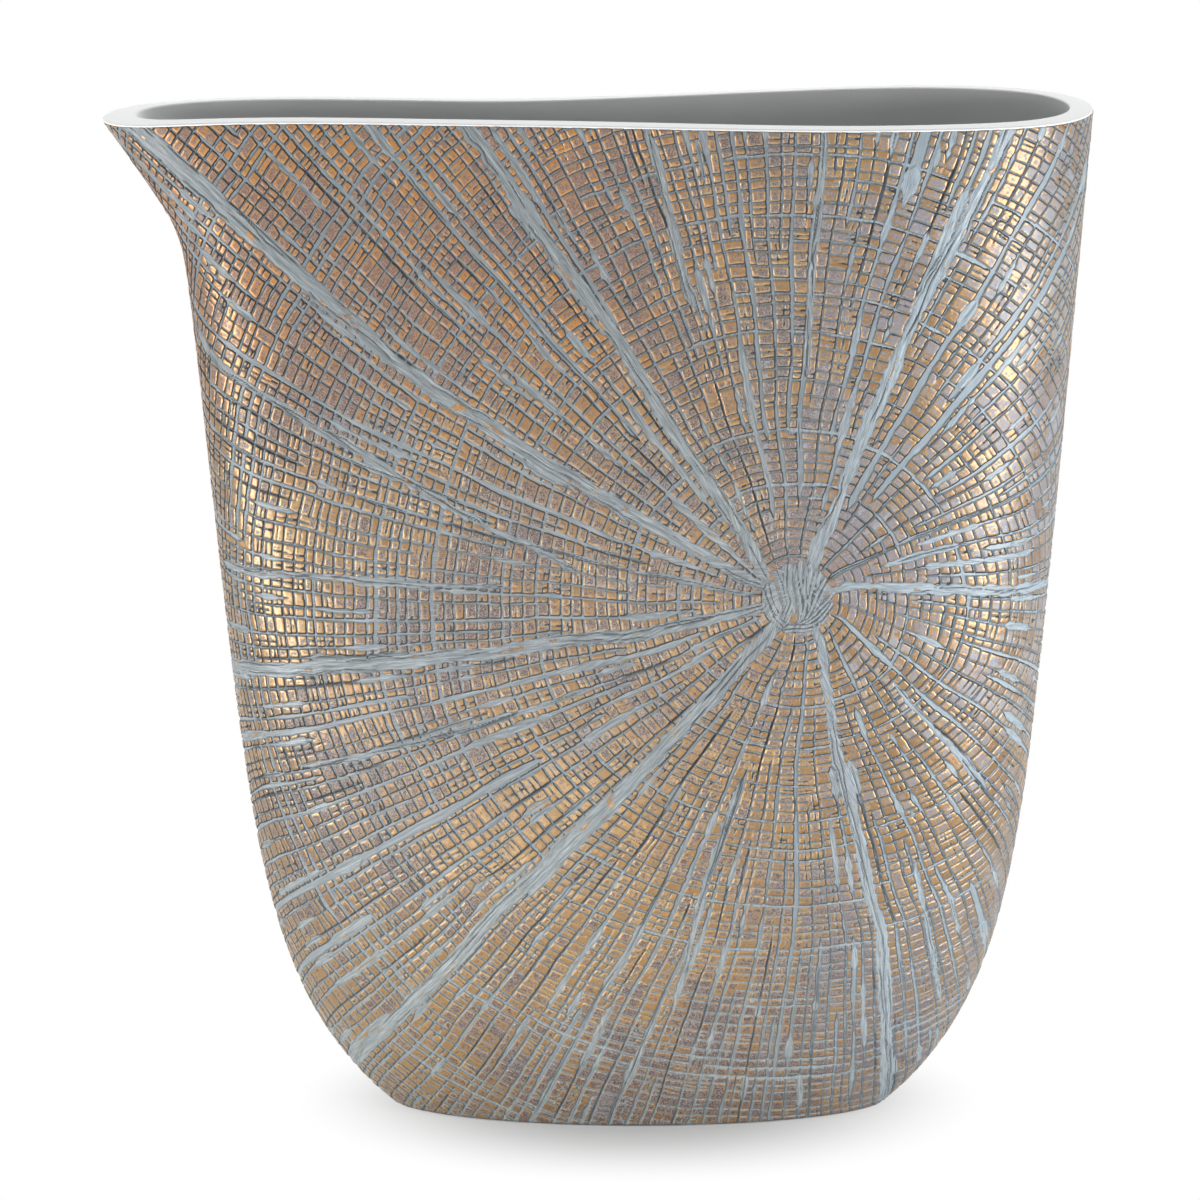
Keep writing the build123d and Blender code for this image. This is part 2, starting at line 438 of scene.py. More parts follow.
def radial_cuts(r, around, sector, turns):
    """The radial lines left and right of each point, and the rays and cracks that they carry.

    For each side it gives the line's number, how far off its middle is and how far the edge
    of its cut, and then the distances outside the nearest ray's edge and the nearest crack."""
    count = len(r)
    line, off, edge = {}, {}, {}
    for side in ("left", "right"):
        line[side], off[side], edge[side] = np.zeros(count, int), np.zeros(count), np.zeros(count)
    ray, crack = np.full(count, far_off), np.full(count, far_off)
    band = np.clip((r / band_width).astype(int), 0, int(outer_radius / band_width))
    key = sector * most_bands + band
    order = np.argsort(key, kind="stable")
    key = key[order]
    ends = np.concatenate([[0], np.nonzero(np.diff(key))[0] + 1, [count]])
    for first, last in zip(ends[:-1], ends[1:]):
        here = order[first:last]
        s, near_band = divmod(key[first], most_bands)
        places, starts, half_widths, cracked = sector_lines[s]
        live = np.nonzero(starts < (near_band + 1) * band_width)[0]
        rr = r[here]
        width = sector_width(s, rr)
        t = (around[here] - turns[s][here]) * rr / width
        i = np.clip(np.searchsorted(places[live], t) - 1, 0, len(live) - 2)
        for side, n, sign in (("left", live[i], 1), ("right", live[i + 1], -1)):
            gap = (t - places[n]) * width * sign
            half = half_widths[n] * (1 + cut_waver * waver(rr, n * 1.7 + s * 31.0, length=11, seed=7))
            half = -start_sunk + (half + start_sunk) * rise(0, start_taper, rr - starts[n])
            swell = rise(0.35, 0.75, waver(rr, n * 3.0 + s * 41.0, length=15, seed=43))
            swell = swell * rise(swell_from, swell_full, rr)
            fray = 1 + cut_fray * waver(rr, n * 3.0 + s * 29.0, length=1.9, seed=44)
            half = half + cut_swell * swell * fray
            on_ray = (n == 0) | (n == len(places) - 1)
            frayed = np.abs(gap) - half - fray_edge + fray_closed * (1 - swell)
            ray[here] = np.where(on_ray, ray[here], np.minimum(ray[here], frayed))
            line[side][here], off[side][here] = n, gap
            edge[side][here] = np.where(on_ray, gap, gap - half)
            closed = rise(-0.1, 0.5, waver(rr, n * 2.3 + s * 17.0, length=13, seed=8))
            slit = np.abs(gap) - slit_half_width + slit_closed * closed
            crack[here] = np.where(cracked[n] & ~on_ray, np.minimum(crack[here], slit), crack[here])
    return line, off, edge, ray, crack


def ring_cuts(u, v, r, sector, column):
    """Distance on the rings' own scale, the ring within each point, how much the cuts waver,
    and how far the edges of the inner and the outer ring's cuts are.

    The rings are shifted from sector to sector and a little from column to column."""
    bend = ring_bend * patches(u, v, size=34, seed=9)
    jog = ring_jog * (chance(cell_jog, sector, column, 0) - 0.5)
    rr = (r + (sector_shift[sector] + bend) * rise(bend_from, bend_full, r)
          + jog * rise(jog_from, jog_full, r))
    rr += (ring_crowding[sector] * np.maximum(crowding_below - v, 0)
           + end_crowding * np.maximum(crowding_past - u, 0))
    k = np.clip(np.searchsorted(rings, rr) - 1, 0, len(rings) - 2)
    wander = 1 + ring_waver * patches(u, v, size=6, seed=10) + end_waver * rise(end_from, end_full, u)
    inner = rr - rings[k] - ring_half_width[k] * wander
    outer = rings[k + 1] - rr - ring_half_width[k + 1] * wander
    inner = np.where(chance(ring_missing, sector, column, k) < missing_share, far_off, inner)
    outer = np.where(chance(ring_missing, sector, column, k + 1) < missing_share, far_off, outer)
    return rr, k, wander, inner, outer


def second_cuts(rr, k, wander, sector, column, from_left, wide):
    """Distance from the edge of one more cut, along or across, that some of the cells have."""
    tall = rings[k + 1] - rings[k]
    share = second_cut_from + second_cut_spread * chance(split_place, sector, column // 4, k)
    split = np.abs(rr - (rings[k] + tall * share)) - second_cut_half_width * wander
    is_split = chance(cell_is_split, sector, column // 3, k) < second_cut_share
    split = np.where(is_split & (tall > least_split_height), split, far_off)
    share = second_cut_from + second_cut_spread * chance(cleft_place, sector, column, k // 4)
    cleft = np.abs(from_left - wide * share) - second_cut_half_width * wander
    is_cleft = chance(cell_is_cleft, sector, column, k // 3) < second_cut_share
    cleft = np.where(is_cleft & (wide > least_cleft_width), cleft, far_off)
    return np.minimum(split, cleft)


def film_wash(u, v, r, around):
    """Where the grey film over the cells is thick and where it is rubbed thin.

    It is thicker at the round end and thinner at the spout end and under the rim."""
    wash = noise(r / 30, around * 16, 40) + 0.6 * noise(r / 12, around * 38, 41)
    wash += 0.5 * patches(u, v, size=24, seed=42)
    wash += 0.5 * rise(5, 40, u) * rise(-75, -30, v) - 0.5 * rise(-50, -95, u)
    return wash - 0.7 * rise(30, 90, v) * rise(70, 10, u)


def wide_rays_at(r, theta, v, side_off):
    """For each wide ray in turn, and then the side bands: the points near it, their distance
    along it and off its middle, and half its width there."""
    widest_off, widest_turn, widest_band = 12, 1.2, 8
    # Each edge of each ray has waves of its own
    for number, ray in enumerate(main_rays + lesser_rays):
        turn = (theta - ray.turn(r) + math.pi) % (2 * math.pi) - math.pi
        near = np.nonzero((np.abs(turn * r) < widest_off) & (np.abs(turn) < widest_turn))[0]
        along, off = r[near], (turn * r)[near]
        half = half_of_ray(ray.width(along), along, number * 3.1 + 7.0 * (off > 0))
        if ray in lesser_rays:
            tips = rise(0, lesser_tip, along - ray.radii[0])
            tips = tips * rise(0, lesser_tip, ray.radii[-1] + past_lesser_end - along)
            half = -tip_depth + (half + tip_depth) * tips
        yield near, along, off, half
    number += 1
    near = np.nonzero(np.abs(side_off) < widest_band)[0]
    along, off = v[near] + heart_length, side_off[near]
    yield near, along, off, half_of_ray(side_band_width, along, number * 3.1 + 7.0 * (off > 0))


def cut_wide_rays(f, r, theta, v, side_off):
    """Cuts the wide rays through everything, with long cracks and a few raised slivers."""
    for number, (near, along, off, half) in enumerate(wide_rays_at(r, theta, v, side_off)):
        gap = np.abs(off) - half
        f["ray"][near] = np.minimum(f["ray"][near], gap)
        f["reach"][near], f["across"][near] = along, off + number * fibre_shift
        for place, seed in long_cracks:
            path = place * half + crack_sway * waver(along, number * 5.0, length=11, seed=seed)
            shown = rise(-0.25, 0.25, waver(along, number * 7.7, length=17, seed=seed + 3))
            if number == main_rays.index(lower_ray) and (place, seed) == middle_crack:
                shown = rise(lower_crack_from, lower_crack_full, along)
            slit = np.abs(off - path) - crack_half_width + crack_closed * (1 - shown)
            slit = np.where(gap < crack_inside, slit, far_off)
            f["crack"][near] = np.minimum(f["crack"][near], slit)
    slivers = (fibres(r, f["across"], length=5.5, width=0.8, seed=19)
               + 0.5 * fibres(r, f["across"], length=2.2, width=0.5, seed=20))
    raised = (f["ray"] < sliver_inside) & (slivers > sliver_above)
    sliver = np.where(raised, (slivers - sliver_above) * sliver_slope, -far_off)
    f["cell"] = np.maximum(np.minimum(f["cell"], f["ray"] - ray_margin), np.minimum(sliver, sliver_top))


def smooth_strand(corners):
    """Close points along a strand with its corners rounded, and the way to one side of it."""
    p = np.array(corners)
    fine = np.linspace(0, len(p) - 1, 60)
    q = [np.pad(np.interp(fine, np.arange(len(p)), p[:, c]), strand_rounding, "edge") for c in (0, 1)]
    count = 2 * strand_rounding + 1
    q = np.stack([np.convolve(line, np.ones(count) / count, "valid") for line in q], axis=1)
    ahead = np.gradient(q, axis=0)
    aside = np.stack([-ahead[:, 1], ahead[:, 0]], axis=1) / np.hypot(ahead[:, 0], ahead[:, 1])[:, None]
    return fine, q, aside


def tie_knot(f, u, v):
    """Lays the knot's strands over the heart, each as a pair, one over the other."""
    low = np.nonzero(np.hypot(u - knot_middle[0], v - knot_middle[1]) < knot_radius + knot_fade)[0]
    hu, hv = u[low], v[low]
    strand, seam = np.full(len(low), far_off), np.full(len(low), far_off)
    for n, corners in enumerate(knot_strands):
        fine, middle, aside = smooth_strand(corners)
        for side in (-1, 1):
            apart = strand_gap + strand_waver * noise(fine * 1.3, n * 3.7 + side + 0 * fine, 33)
            q = middle + aside * side * apart[:, None]
            gap = np.min(np.hypot(hu[:, None] - q[:, 0], hv[:, None] - q[:, 1]), axis=1)
            gap += strand_roughness * patches(hu, hv, size=1.4, seed=31)
            over = gap < strand_half_width + strand_overlap
            strand = np.where(over, gap, np.minimum(strand, gap))
            seam = np.where(over, np.abs(gap - strand_half_width) - seam_half_width, seam)
    out = np.hypot(hu - knot_middle[0], (hv - knot_middle[1]) * knot_squash) - knot_radius
    inside = rise(knot_edge, -knot_edge, out + knot_edge_roughness * patches(hu, hv, size=2.2, seed=32))
    f["strands"], f["knot"] = np.full(len(u), far_off), np.zeros(len(u))
    f["strands"][low], f["knot"][low] = strand, inside
    f["cell"][low] = np.where(inside > 0.5, np.minimum(strand - 1.25, 0.3), f["cell"][low])
    f["crack"][low] = np.where(inside > 0.3, seam, f["crack"][low])
    f["ray"][low] = np.where(inside > 0.5, np.minimum(-0.5, f["ray"][low]), f["ray"][low])


def carving(u, v, side_off):
    """Fields of the carving, in mm, at points of the unrolled surface.

    cell is the distance inside a raised cell's edge (below 0 in the grooves), ray the
    distance outside the nearest wide ray's edge and crack outside the nearest dark crack.
    side_off is the distance across a side band, where the front's carving meets the back's."""
    sway_u, sway_v = (
        pattern_sway * patches(u, v, size=19, seed=wide)
        + pattern_shiver * patches(u, v, size=4.1, seed=small)
        for wide, small in ((1, 2), (3, 4)))
    strength = rise(calm_within, sway_full, np.hypot(u, v))
    u, v = u + sway_u * strength, v + sway_v * strength
    r, theta = np.hypot(u, v), np.arctan2(v, u)
    sector, around, turns = find_sectors(r, theta)
    line, off, edge, ray, crack = radial_cuts(r, around, sector, turns)
    column, wide = line["left"], edge["left"] + edge["right"]
    rr, k, wander, inner, outer = ring_cuts(u, v, r, sector, column)

    second = second_cuts(rr, k, wander, sector, column, edge["left"], wide)
    cell = soft_least(np.minimum(edge["left"], edge["right"]), np.minimum(inner, outer), corner_blend)
    cell = soft_least(cell, second, second_blend)
    cell += edge_roughness * patches(u, v, size=1.3, seed=11)

    # shade and upright steer painted shade in the grooves: the dark hairline along one wall of each cut,
    # and darker upright grooves as if lit from the sides
    nearest = np.argmin([edge["left"], edge["right"], inner, outer], axis=0)
    from_cut = np.choose(nearest, [off["left"], -off["right"], rr - rings[k], rr - rings[k + 1]])
    across_line = -np.sin(theta) * painted_shade_side[0] + np.cos(theta) * painted_shade_side[1]
    across_ring = np.cos(theta) * painted_shade_side[0] + np.sin(theta) * painted_shade_side[1]
    to_painted_shade = np.where(nearest < 2, across_line, across_ring)

    f = {"cell": cell, "ray": ray, "crack": crack, "reach": r.copy()}
    f["across"] = np.where(off["left"] < off["right"], off["left"] + fibre_shift * column,
                           fibre_shift * line["right"] - off["right"])
    f["tint"], f["wash"] = chance(cell_tint, sector, column, k), film_wash(u, v, r, around)
    f["shade"], f["upright"] = from_cut * to_painted_shade, np.abs(to_painted_shade)
    cut_wide_rays(f, r, theta, v, side_off)
    tie_knot(f, u, v)
    return f


# Levels of the carving over the vase's surface, and the foot and top of a cell's sides, in mm
groove_level, cell_level, ray_level = -0.17, 0.16, 0.02
cell_foot, cell_top = -0.27, 0.08
crack_depth, strand_height, strand_reach, strand_level = 0.35, 0.75, 0.95, -0.2

# How uneven the cells are among themselves, and their tops, the grooves, rays and strands
cell_spread, cell_marks, groove_marks, ray_marks, strand_marks = 0.16, 0.05, 0.08, 0.22, 0.06


def relief(f, u, v):
    """Height of the carving over the vase's surface, in mm, from its fields."""
    tops = cell_level + cell_spread * (f["tint"] - 0.5) + cell_marks * patches(u, v, size=1.1, seed=21)
    fibre = (fibres(f["reach"], f["across"], length=18, width=0.85, seed=22)
             + 0.5 * fibres(f["reach"], f["across"], length=7, width=0.45, seed=23))
    floor = groove_level + groove_marks * patches(u, v, size=2.3, seed=24)
    in_ray = rise(0.15, -0.5, f["ray"])
    floor = floor + (ray_level + ray_marks * fibre - floor) * in_ray
    high = floor + (tops - floor) * rise(cell_foot, cell_top, f["cell"])
    high -= crack_depth * rise(0.14, -0.1, f["crack"])
    rounded = np.sqrt(np.maximum(1 - (f["strands"] / strand_reach) ** 2, 0))
    ridge = strand_height * rounded + strand_level + strand_marks * fibre
    return high + (ridge - high) * f["knot"]


# Meshes

def add_mesh(name, points, faces, material, uv=None, fields=None, normals=None):
    """A smooth mesh object with points in metres, and what its material reads."""
    mesh = bpy.data.meshes.new(name)
    mesh.vertices.add(len(points))
    mesh.vertices.foreach_set("co", np.asarray(points, np.float32).ravel())
    faces = np.asarray(faces, np.int32)
    mesh.loops.add(faces.size)
    mesh.loops.foreach_set("vertex_index", faces.ravel())
    mesh.polygons.add(len(faces))
    mesh.polygons.foreach_set("loop_start", np.arange(0, faces.size, faces.shape[1], dtype=np.int32))
    mesh.update(calc_edges=True)
    mesh.polygons.foreach_set("use_smooth", np.ones(len(faces), bool))
    for field, values in (fields or {}).items():
        if values.ndim == 2:
            layer = mesh.attributes.new(field, "FLOAT_VECTOR", "POINT")
            layer.data.foreach_set("vector", values.astype(np.float32).ravel())
        else:
            layer = mesh.attributes.new(field, "FLOAT", "POINT")
            layer.data.foreach_set("value", values.astype(np.float32))
    if uv is not None:
        layer = mesh.uv_layers.new(name="OFBake")
        layer.data.foreach_set("uv", uv.astype(np.float32).ravel())
    if normals is not None:
        mesh.normals_split_custom_set_from_vertices(normals)
    mesh.validate()
    piece = bpy.data.objects.new(name, mesh)
    bpy.context.scene.collection.objects.link(piece)
    piece.data.materials.append(material)
    return piece


def grid_faces(rows, columns, closed=False):
    """Faces of a grid of points, whose last column may join the first."""
    i, j = np.meshgrid(np.arange(rows - 1), np.arange(columns if closed else columns - 1), indexing="ij")
    n = (j + 1) % columns
    return np.stack([i * columns + j, i * columns + n, (i + 1) * columns + n, (i + 1) * columns + j],
                    axis=-1).reshape(-1, 4)


def cap_faces(start, count):
    """Faces that close a loop of points, in rungs from one side of it to the other."""
    i = np.arange(count // 2 - 1)
    return start + np.stack([i, i + 1, count - 2 - i, count - 1 - i], axis=-1)


def grid_normals(p):
    """Unit normals of a grid of points that runs all the way round, from its neighbours."""
    along = np.roll(p, -1, 1) - np.roll(p, 1, 1)
    n = np.cross(along, np.gradient(p, axis=0))
    return n / np.maximum(np.linalg.norm(n, axis=2, keepdims=True), 1e-9)


# Shader maths

class Wire:
    """A value inside a material, which sums can be written on."""

    def __init__(self, finish, socket):
        self.finish, self.socket = finish, socket

    def maths(self, operation, *others):
        return self.finish.maths(operation, self, *others)

    def __add__(self, other):
        return self.maths("ADD", other)

    def __radd__(self, other):
        return self.maths("ADD", other)

    def __mul__(self, other):
        return self.maths("MULTIPLY", other)

    def __rmul__(self, other):
        return self.maths("MULTIPLY", other)

    def __sub__(self, other):
        return self.maths("SUBTRACT", other)

    def __rsub__(self, other):
        return self.finish.maths("SUBTRACT", other, self)


class Finish:
    """The nodes of a material of the vase, or of the room around it."""

    def __init__(self, owner):
        owner.use_nodes = True
        self.owner, self.tree = owner, owner.node_tree
        self.tree.nodes.clear()

    def node(self, kind, settings=None, values=None, out=0):
        """A node of a type, with its settings and the values or wires of its sockets."""
        n = self.tree.nodes.new(kind)
        for name, value in (settings or {}).items():
            setattr(n, name, value)
        for socket, value in (values or {}).items():
            if isinstance(value, Wire):
                self.tree.links.new(value.socket, n.inputs[socket])
            else:
                n.inputs[socket].default_value = value
        return Wire(self, n.outputs[out])

    def maths(self, operation, *values):
        return self.node("ShaderNodeMath", {"operation": operation}, dict(enumerate(values)))

    def field(self, name, out="Fac"):
        return self.node("ShaderNodeAttribute", {"attribute_name": name}, out=out)

    def place(self):
        """Where a point lies, in metres."""
        return self.node("ShaderNodeTexCoord", out="Object")

    def step(self, value, start, end):
        """0 to 1 as a value goes from start to end, with soft ends."""
        return self.node("ShaderNodeMapRange", {"interpolation_type": "SMOOTHSTEP"},
                         {"Value": value, 1: start, 2: end, 3: 0.0, 4: 1.0})

    def mix(self, share, a, b):
        """Colour a turning into colour b."""
        return self.node("ShaderNodeMix", {"data_type": "RGBA"}, {0: share, 6: a, 7: b}, out=2)

    def grain(self, place, scale, detail=2.0, rough=0.5):
        return self.node("ShaderNodeTexNoise", {}, {
            "Vector": place, "Scale": scale, "Detail": detail, "Roughness": rough})

    def stretch(self, vector, amounts):
        return self.node("ShaderNodeVectorMath", {"operation": "MULTIPLY"}, {0: vector, 1: amounts})

    def bumps(self, height, strength, distance):
        """A surface raised by a height from 0 to 1, of so many metres at full strength."""
        return self.node("ShaderNodeBump", {}, {
            "Strength": strength, "Distance": distance, "Height": height})

    def painted(self, **values):
        """Closes the material with a painted or felted surface."""
        return self.close(self.node("ShaderNodeBsdfPrincipled", {}, values))

    def close(self, surface, kind="ShaderNodeOutputMaterial"):
        """Puts a surface on the output, and gives what the nodes belong to."""
        end = self.tree.nodes.new(kind)
        self.tree.links.new(surface.socket, end.inputs[0])
        return self.owner

    def seen_ray(self):
        """1 for what the camera sees, straight or in metal or glass, and 0 for light."""
        rays = [self.node("ShaderNodeLightPath", out=f"Is {kind} Ray")
                for kind in ("Camera", "Glossy", "Transmission")]
        return rays[0].maths("MAXIMUM", rays[1]).maths("MAXIMUM", rays[2])


def light(shown):
    """Light value of one part of a colour, from how a screen shows it, 0 to 255."""
    shown /= 255
    return shown / 12.92 if shown <= 0.04045 else ((shown + 0.055) / 1.055) ** 2.4


def paint(red, green, blue):
    """A colour as seen on a screen, 0 to 255, turned into light values."""
    return (light(red), light(green), light(blue), 1.0)


# Copper-gold on the cells: in its hollows and rubbed bright, under the rim towards the
# spout, lighter low down as painted bounce light from the floor, and its freckles
copper_dull, copper_bright = paint(121, 91, 53), paint(157, 128, 83)
copper_under_rim, copper_painted_bounce, copper_freckles = paint(150, 101, 42), paint(168, 132, 80), paint(84, 62, 46)

# Patina in the cells' middles, and the grey film over some of them
patina_deep, patina_thin = paint(44, 34, 31), paint(118, 108, 109)
patina_round_end, patina_under_rim = paint(112, 113, 122), paint(116, 85, 62)
film_colour, film_cover, patina_cover = paint(124, 131, 139), 0.58, 0.92

# Blue-grey of the grooves and wide rays, lighter low down and at the round end as painted light, with its
# streaks, painted shadows, painted shade hairlines and cracks
grey_deep, grey_light = paint(86, 92, 95), paint(125, 131, 133)
grey_painted_bounce, grey_under_rim, grey_painted_lit_end = paint(146, 152, 149), paint(92, 98, 100), paint(148, 165, 177)
streak_dark, streak_light = paint(78, 86, 90), paint(170, 177, 180)
groove_shadow, painted_shade_colour, crack_colour = paint(84, 93, 100), paint(22, 24, 28), paint(42, 45, 48)


def carved_finish():
    """Blue-grey paint in the grooves, copper-gold rubbed on the cells, patina in their middles."""
    f = Finish(bpy.data.materials.new("carved_resin_paint"))
    place = f.place()
    cell, ray, crack = f.field("cell"), f.field("ray"), f.field("crack")
    tint, shade, wash = f.field("tint"), f.field("shade"), f.field("wash")
    grain = f.field("grain", out="Vector")

    blot = f.grain(place, 900.0, rough=0.6)
    speckle = f.grain(place, 1900.0, rough=0.7)
    dust = f.grain(place, 4200.0, rough=0.6)
    cloud = f.grain(place, 46.0, detail=3.0, rough=0.6)
    drift = f.grain(place, 12.0, detail=1.0)
    fibre = f.grain(f.stretch(grain, (0.07, 1.5, 1.0)), 1.0, detail=3.0, rough=0.65)
    streak = f.grain(f.stretch(grain, (0.18, 3.4, 1.0)), 1.0, rough=0.6)
    fine = speckle * 0.5 + dust * 0.5

    # Zones of the vase: low down, under the rim towards the spout, and at its two ends
    along = f.node("ShaderNodeSeparateXYZ", {}, {0: place}, out="X")
    up = f.node("ShaderNodeSeparateXYZ", {}, {0: place}, out="Z")
    low_down = f.step(up, 0.13, 0.03)
    under_rim = f.step(up, 0.20, 0.28) * f.step(along, 0.06, -0.02)
    both_ends = (f.step(along, 0.03, 0.10) + f.step(along, -0.07, -0.10)) * 0.45

    # Raised cells
    on_cell = f.step(cell, -0.06, 0.08)
    dull = (tint - 0.5) * 0.9 + (cloud - 0.5) * 2.0 + (drift - 0.5) * 2.4
    dull = dull - f.step(along, -0.06, -0.12) * 0.25
    depth = cell.maths("MINIMUM", 0.9) + (blot - 0.5) * 2.6 + (speckle - 0.5) * 2.0 + dull
    patina = f.step(depth, 0.38, 0.62)
    film = f.step(wash + (blot - 0.5) * 2.0 + (speckle - 0.5) * 2.4 + (tint - 0.5) * 0.3, 0.50, 1.10)
    film = film * f.step(cell + (blot - 0.5) * 1.0, 0.10, 0.42) * (1.0 - low_down * 0.6)
    copper = f.mix(f.step(dust + (tint - 0.5) * 0.5, 0.2, 0.9), copper_dull, copper_bright)
    copper = f.mix(under_rim * 0.85, copper, copper_under_rim)
    # Lighter low down: painted bounce light from the floor
    copper = f.mix(low_down * 0.35, copper, copper_painted_bounce)
    copper = f.mix(f.step(fine, 0.46, 0.36) * 0.75, copper, copper_freckles)
    dark = f.mix(f.step(fine, 0.42, 0.60), patina_deep, patina_thin)
    dark = f.mix(f.step(along, 0.04, 0.10) * (0.7 - low_down * 0.5), dark, patina_round_end)
    dark = f.mix(under_rim * 0.4, dark, patina_under_rim)
    top = f.mix(patina * patina_cover, copper, dark)
    top = f.mix(film * film_cover, top, film_colour)

    # Grooves and wide rays
    grey = f.mix(f.step(fibre, 0.3, 0.7), grey_deep, grey_light)
    # Lighter low down: painted bounce light from the floor
    grey = f.mix(low_down * 0.3, grey, grey_painted_bounce)
    grey = f.mix(under_rim * 0.35, grey, grey_under_rim)
    # Lighter and bluer at the round end: painted light from the right lamp
    grey = f.mix(f.step(along, 0.05, 0.11) * 0.4, grey, grey_painted_lit_end)
    in_ray = f.step(ray, 0.15, -0.35)
    grey = f.mix(f.step(streak, 0.50, 0.68) * (0.15 + in_ray * 0.6), grey, streak_dark)
    grey = f.mix(f.step(streak, 0.46, 0.28) * in_ray * 0.35, grey, streak_light)
    # Painted shadow: upright grooves darker, as side lights would leave them
    upright = f.step(f.field("upright"), 0.3, 0.9) * f.step(cell, 0.0, -0.25)
    grey = f.mix(upright * (1.0 - in_ray) * 0.35, grey, groove_shadow)
    # Painted shade: a dark hairline along the cut's wall turned from the light, on both walls at the two
    # ends, fainter low down
    edge = f.step(cell, -0.52, -0.38) * f.step(cell, 0.05, -0.04) * (1.0 - in_ray * 0.8)
    painted_shade_line = edge * f.step(shade, -0.04, 0.06).maths("MAXIMUM", both_ends + 0.08)
    grey = f.mix(painted_shade_line * (0.84 + both_ends * 0.25 - low_down * 0.30), grey, painted_shade_colour)
    grey = f.mix(f.step(crack, 0.10, -0.08) * (0.88 - low_down * 0.5), grey, crack_colour)

    bright = on_cell * (1.0 - patina * 0.85) * (1.0 - film * 0.6)
    high = f.step(cell, -0.22, 0.04) * 0.15 + speckle * on_cell * 0.25 + dust * 0.08
    high = high + (fibre * 0.5 + streak * 0.35) * in_ray - f.step(crack, 0.15, -0.12) * 0.5
    return f.painted(**{
        "Base Color": f.mix(on_cell, grey, top),
        "Metallic": bright * 0.55,
        "Roughness": 0.62 - bright * 0.32 + (dust - 0.5) * 0.12,
        "Normal": f.bumps(high, 0.7, 0.00035),
        "Coat Weight": 0.4 + bright * 0.4 - edge * 0.4,
        "Coat Roughness": 0.34,
        "Specular IOR Level": 0.25})


def smooth_grey_finish():
    """Satin grey paint of the inside and the lip, with the faint unevenness of a dipped coat."""
    f = Finish(bpy.data.materials.new("smooth_grey_paint"))
    cloud = f.grain(f.place(), 22.0)
    orange_peel = f.grain(f.place(), 420.0)
    colour = f.mix(f.step(cloud, 0.3, 0.7), paint(202, 203, 203), paint(208, 209, 209))
    return f.painted(**{
        "Base Color": colour, "Roughness": 0.44 + (cloud - 0.5) * 0.1,
        "Normal": f.bumps(orange_peel, 0.35, 0.0001)})


def raw_base_finish():
    """Plain grey paint over the flat underside, with small cast pits."""
    f = Finish(bpy.data.materials.new("underside_paint"))
    cloud = f.grain(f.place(), 60.0, detail=3.0)
    pits = f.node("ShaderNodeTexVoronoi", {}, {"Vector": f.place(), "Scale": 420.0})
    colour = f.mix(f.step(cloud, 0.3, 0.7), paint(132, 142, 145), paint(158, 167, 169))
    return f.painted(**{
        "Base Color": colour, "Roughness": 0.66 + (cloud - 0.5) * 0.15,
        "Normal": f.bumps(f.step(pits, 0.05, 0.4) + cloud * 0.4, 0.5, 0.0003)})


def felt_finish():
    """Dark pressed felt of the foot pads."""
    f = Finish(bpy.data.materials.new("pad_felt"))
    hairs = f.grain(f.stretch(f.place(), (1.0, 1.0, 0.3)), 3200.0, detail=3.0, rough=0.7)
    colour = f.mix(f.step(hairs, 0.3, 0.7), paint(34, 34, 36), paint(66, 66, 68))
    return f.painted(**{
        "Base Color": colour, "Roughness": 0.92 + (hairs - 0.5) * 0.08,
        "Normal": f.bumps(hairs, 0.8, 0.0002)})


# The carved outside

rows, front_columns = 760, 780
strips = 12
heart_shift_back = (48.0, 26.0)
wrapped, band_sway, no_band = 17.0, 3.0, 99.0
edge_sink, lip_band = -0.30, 0.75


def carved_surface():
    """Points of the vase's outside, and their places on the unrolled surface and across the
    side bands, all the way round."""
    table_z = np.linspace(pad_proud, rim_height, 260)
    share = np.linspace(0, 1, front_columns + 1)
    table_x, table_y, table_u = (np.zeros((len(table_z), len(share))) for _ in range(3))
    for n, level in enumerate(table_z):
        line_x, depth, length = front_line(level)
        at = share * length[-1]
        table_x[n], table_y[n] = np.interp(at, length, line_x), np.interp(at, length, depth)
        table_u[n] = at - np.interp(heart_x, line_x, length)
    x, y, z, u = (np.zeros((rows + 1, len(share))) for _ in range(4))
    for j in range(len(share)):
        top = rim_at(table_x[-1, j]) - lip_band
        z[:, j] = np.linspace(pad_proud, top, rows + 1)
        for grid, table in ((x, table_x), (y, table_y), (u, table_u)):
            grid[:, j] = np.interp(z[:, j], table_z, table[:, j])
    v = np.interp(z, profile_z, profile_length) - heart_length

    # The back is the front mirrored, with its heart elsewhere, and the front's carving
    # runs on round both sides as far as the side bands
    back_u, back_v = u + heart_shift_back[0], v + heart_shift_back[1]
    side_off = np.full(u.shape, no_band)
    for end in (0, -1):
        past_side = np.abs(u - u[:, [end]])
        off = past_side - wrapped - band_sway * waver(z, end, length=55, seed=51)
        back_u = np.where(off < 0, 2 * u[:, [end]] - u, back_u)
        back_v = np.where(off < 0, v, back_v)
        side_off = np.where(np.abs(off) < np.abs(side_off), off, side_off)
    points = np.stack([all_round(x, x), all_round(-y, y), all_round(z, z)], axis=-1)
    return points, all_round(u, back_u), all_round(v, back_v), all_round(0 * u + no_band, side_off)


def all_round(front, behind):
    """One grid from the front's and the back's, which share the columns at both ends."""
    return np.concatenate([front, behind[:, front_columns - 1:0:-1]], axis=1)


def folded(faces, wide):
    """Places in the picture of a strip, whose upper half lies beside its lower half."""
    margin = 0.002
    row, column = np.divmod(faces, wide)
    upper = (row[:, :1] >= rows // 2)
    across = margin + (0.5 - 3 * margin) * column / (wide - 1) + (0.5 + margin) * upper
    up = margin + (1 - 2 * margin) * (row / (rows // 2) - upper)
    return np.stack([across, up], axis=-1)


def strip_part(values, pick):
    """A strip's share of values that run over the whole outside."""
    grid = values.reshape((rows + 1, -1) + values.shape[1:])
    return grid[:, pick].reshape((-1,) + values.shape[1:])


